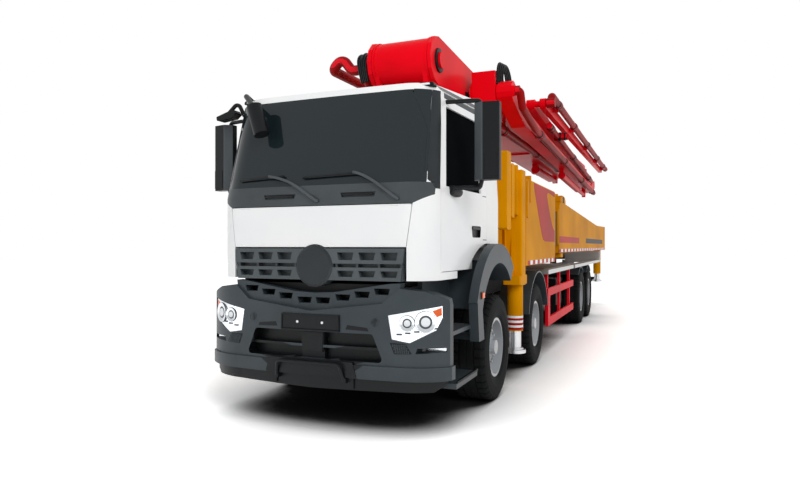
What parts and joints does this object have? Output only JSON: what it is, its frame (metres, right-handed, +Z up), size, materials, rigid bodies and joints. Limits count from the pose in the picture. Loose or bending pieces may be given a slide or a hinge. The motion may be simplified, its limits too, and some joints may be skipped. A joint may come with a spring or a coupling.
{
  "type": "truck-mounted concrete pump",
  "caption": "Truck-mounted concrete pump with a forward cab, folded multi-arm boom and delivery pipes, outriggers, pump and hopper, stowed for the road.",
  "frame": {"origin": "centre of the truck's footprint on the ground", "axes": "+X forward along the truck, +Y to its left, +Z up"},
  "size_m": [14.49, 2.976, 3.98],
  "materials": {
    "frame_paint": "satin",
    "engine_iron": "satin",
    "grey_plastic": "satin",
    "tank_paint": "satin",
    "guard_red": "gloss",
    "cab_white": "gloss",
    "interior_plastic": "matte",
    "dark_glass": "clear",
    "lamp_glass": "clear",
    "body_yellow": "gloss",
    "deck_aluminium": "brushed",
    "hopper_paint": "satin",
    "leg_steel": "satin",
    "axle_iron": "satin",
    "tyre": "matte",
    "boom_red": "gloss",
    "pipe_red": "satin",
    "rod_chrome": "polished"
  },
  "bodies": {
    "truck": {"chassis_frame": "frame_paint", "engine_block": "engine_iron", "front_axle_beams": "frame_paint", "rear_axle_housings": "frame_paint", "chassis_tanks": "tank_paint", "side_guards": "guard_red", "mudguards": "grey_plastic", "cab_shell": "cab_white", "cab_interior": "interior_plastic", "windscreen": "dark_glass", "grille": "grey_plastic", "bumper": "grey_plastic", "headlamps": "lamp_glass", "front_mirror": "grey_plastic", "pump_body": "body_yellow", "deck_platforms": "deck_aluminium", "hopper": "hopper_paint", "pump_unit": "hopper_paint"},
    "front_flap": {"front_flap": "cab_white"},
    "door_left": {"door_left": "cab_white", "door_glass_left": "dark_glass", "mirror_left": "grey_plastic"},
    "door_right": {"door_right": "cab_white", "door_glass_right": "dark_glass", "mirror_right": "grey_plastic"},
    "knuckle_1_left": {"knuckle_1_left": "axle_iron"},
    "knuckle_2_left": {"knuckle_2_left": "axle_iron"},
    "knuckle_1_right": {"knuckle_1_right": "axle_iron"},
    "knuckle_2_right": {"knuckle_2_right": "axle_iron"},
    "wheel_1_left": {"wheel_1_left": "tyre"},
    "wheel_2_left": {"wheel_2_left": "tyre"},
    "wheel_3_left": {"wheel_3_left": "tyre"},
    "wheel_4_left": {"wheel_4_left": "tyre"},
    "wheel_1_right": {"wheel_1_right": "tyre"},
    "wheel_2_right": {"wheel_2_right": "tyre"},
    "wheel_3_right": {"wheel_3_right": "tyre"},
    "wheel_4_right": {"wheel_4_right": "tyre"},
    "front_beam_left": {"front_beam_left": "body_yellow"},
    "front_beam_right": {"front_beam_right": "body_yellow"},
    "front_leg_left": {"front_leg_left": "leg_steel"},
    "front_leg_right": {"front_leg_right": "leg_steel"},
    "rear_beam_left": {"rear_beam_left": "body_yellow"},
    "rear_beam_right": {"rear_beam_right": "body_yellow"},
    "rear_leg_left": {"rear_leg_left": "leg_steel"},
    "rear_leg_right": {"rear_leg_right": "leg_steel"},
    "hopper_grate": {"hopper_grate": "hopper_paint"},
    "turret": {"turret": "boom_red", "turret_pipe": "pipe_red"},
    "arm_1": {"arm_1": "boom_red", "pipe_1": "pipe_red"},
    "arm_2": {"arm_2": "boom_red", "pipe_2": "pipe_red"},
    "arm_3": {"arm_3": "boom_red", "pipe_3": "pipe_red"},
    "arm_4": {"arm_4": "boom_red", "pipe_4": "pipe_red"},
    "arm_5": {"arm_5": "boom_red", "pipe_5": "pipe_red"},
    "lift_barrel": {"lift_barrel": "boom_red"},
    "lift_rod": {"lift_rod": "rod_chrome"}
  },
  "joints": [
    {"name": "steer_1_left", "type": "hinge", "parent": "truck", "child": "knuckle_1_left", "pos_m": [5.51, 0.87, 0.53], "axis": [0, 0, 1], "range_deg": [-35, 35]},
    {"name": "steer_1_right", "type": "hinge", "parent": "truck", "child": "knuckle_1_right", "pos_m": [5.51, -0.87, 0.53], "axis": [0, 0, 1], "range_deg": [-35, 35]},
    {"name": "steer_2_left", "type": "hinge", "parent": "truck", "child": "knuckle_2_left", "pos_m": [3.4, 0.87, 0.53], "axis": [0, 0, 1], "range_deg": [-27, 27]},
    {"name": "steer_2_right", "type": "hinge", "parent": "truck", "child": "knuckle_2_right", "pos_m": [3.4, -0.87, 0.53], "axis": [0, 0, 1], "range_deg": [-27, 27]},
    {"name": "wheel_1_left_spin", "type": "hinge", "parent": "knuckle_1_left", "child": "wheel_1_left", "pos_m": [5.51, 1.03, 0.53], "axis": [0, 1, 0], "continuous": true},
    {"name": "wheel_2_left_spin", "type": "hinge", "parent": "knuckle_2_left", "child": "wheel_2_left", "pos_m": [3.4, 1.03, 0.53], "axis": [0, 1, 0], "continuous": true},
    {"name": "wheel_3_left_spin", "type": "hinge", "parent": "truck", "child": "wheel_3_left", "pos_m": [-1.48, 0.89, 0.53], "axis": [0, 1, 0], "continuous": true},
    {"name": "wheel_4_left_spin", "type": "hinge", "parent": "truck", "child": "wheel_4_left", "pos_m": [-2.83, 0.89, 0.53], "axis": [0, 1, 0], "continuous": true},
    {"name": "wheel_1_right_spin", "type": "hinge", "parent": "knuckle_1_right", "child": "wheel_1_right", "pos_m": [5.51, -1.03, 0.53], "axis": [0, 1, 0], "continuous": true},
    {"name": "wheel_2_right_spin", "type": "hinge", "parent": "knuckle_2_right", "child": "wheel_2_right", "pos_m": [3.4, -1.03, 0.53], "axis": [0, 1, 0], "continuous": true},
    {"name": "wheel_3_right_spin", "type": "hinge", "parent": "truck", "child": "wheel_3_right", "pos_m": [-1.48, -0.89, 0.53], "axis": [0, 1, 0], "continuous": true},
    {"name": "wheel_4_right_spin", "type": "hinge", "parent": "truck", "child": "wheel_4_right", "pos_m": [-2.83, -0.89, 0.53], "axis": [0, 1, 0], "continuous": true},
    {"name": "front_flap_lift", "type": "hinge", "parent": "truck", "child": "front_flap", "pos_m": [7.094, 0, 1.897], "axis": [0, -1, 0], "range_deg": [0, 75]},
    {"name": "door_left_swing", "type": "hinge", "parent": "truck", "child": "door_left", "pos_m": [6.852, 1.06, 2.1], "axis": [0, 0, -1], "range_deg": [0, 75]},
    {"name": "door_right_swing", "type": "hinge", "parent": "truck", "child": "door_right", "pos_m": [6.852, -1.06, 2.1], "axis": [0, 0, 1], "range_deg": [0, 75]},
    {"name": "front_beam_left_slide", "type": "slide", "parent": "truck", "child": "front_beam_left", "axis": [0.6428, 0.766, 0], "range_m": [0, 1.3]},
    {"name": "front_leg_left_slide", "type": "slide", "parent": "front_beam_left", "child": "front_leg_left", "axis": [0, 0, -1], "range_m": [0, 0.35]},
    {"name": "rear_beam_left_swing", "type": "hinge", "parent": "truck", "child": "rear_beam_left", "pos_m": [1.41, 1.12, 1.9], "axis": [0, 0, -1], "range_deg": [0, 50]},
    {"name": "rear_leg_left_slide", "type": "slide", "parent": "rear_beam_left", "child": "rear_leg_left", "axis": [0, 0, -1], "range_m": [0, 0.68]},
    {"name": "front_beam_right_slide", "type": "slide", "parent": "truck", "child": "front_beam_right", "axis": [0.6428, -0.766, 0], "range_m": [0, 1.3]},
    {"name": "front_leg_right_slide", "type": "slide", "parent": "front_beam_right", "child": "front_leg_right", "axis": [0, 0, -1], "range_m": [0, 0.35]},
    {"name": "rear_beam_right_swing", "type": "hinge", "parent": "truck", "child": "rear_beam_right", "pos_m": [1.41, -1.12, 1.9], "axis": [0, 0, 1], "range_deg": [0, 50]},
    {"name": "rear_leg_right_slide", "type": "slide", "parent": "rear_beam_right", "child": "rear_leg_right", "axis": [0, 0, -1], "range_m": [0, 0.68]},
    {"name": "hopper_grate_lift", "type": "hinge", "parent": "truck", "child": "hopper_grate", "pos_m": [-5.645, 0, 2.172], "axis": [0, 1, 0], "range_deg": [0, 80]},
    {"name": "slew", "type": "hinge", "parent": "truck", "child": "turret", "pos_m": [3.76, 0, 2.42], "axis": [0, 0, 1], "range_deg": [-270, 270]},
    {"name": "arm_1_lift", "type": "hinge", "parent": "turret", "child": "arm_1", "pos_m": [4.94, 0, 3.7], "axis": [0, 1, 0], "range_deg": [0, 88]},
    {"name": "arm_2_unfold", "type": "hinge", "parent": "arm_1", "child": "arm_2", "pos_m": [-6.29, 0.575, 3.6], "axis": [0, -1, 0], "range_deg": [0, 180]},
    {"name": "arm_3_unfold", "type": "hinge", "parent": "arm_2", "child": "arm_3", "pos_m": [3.76, 0.88, 3.56], "axis": [0, 1, 0], "range_deg": [0, 180]},
    {"name": "arm_4_unfold", "type": "hinge", "parent": "arm_3", "child": "arm_4", "pos_m": [-6.28, 0.88, 3.23], "axis": [0, -1, 0], "range_deg": [0, 180]},
    {"name": "arm_5_unfold", "type": "hinge", "parent": "arm_4", "child": "arm_5", "pos_m": [2.11, 1.06, 3.73], "axis": [0, 1, 0], "range_deg": [0, 180]},
    {"name": "lift_barrel_tilt", "type": "hinge", "parent": "turret", "child": "lift_barrel", "pos_m": [2.7, -0.025, 2.6], "axis": [0, -1, 0], "range_deg": [0, 23]},
    {"name": "lift_rod_extend", "type": "slide", "parent": "lift_barrel", "child": "lift_rod", "axis": [0.9104, 0, 0.4138], "range_m": [0, 0.885]}
  ],
  "couplings": [
    {"joint": "steer_1_right", "follows": "steer_1_left", "ratio": 1},
    {"joint": "steer_2_left", "follows": "steer_1_left", "ratio": 0.75},
    {"joint": "steer_2_right", "follows": "steer_1_left", "ratio": 0.75},
    {"joint": "lift_barrel_tilt", "follows": "arm_1_lift", "ratio": 0.22813},
    {"joint": "lift_rod_extend", "follows": "arm_1_lift", "m_per_rad": 0.55672}
  ]
}
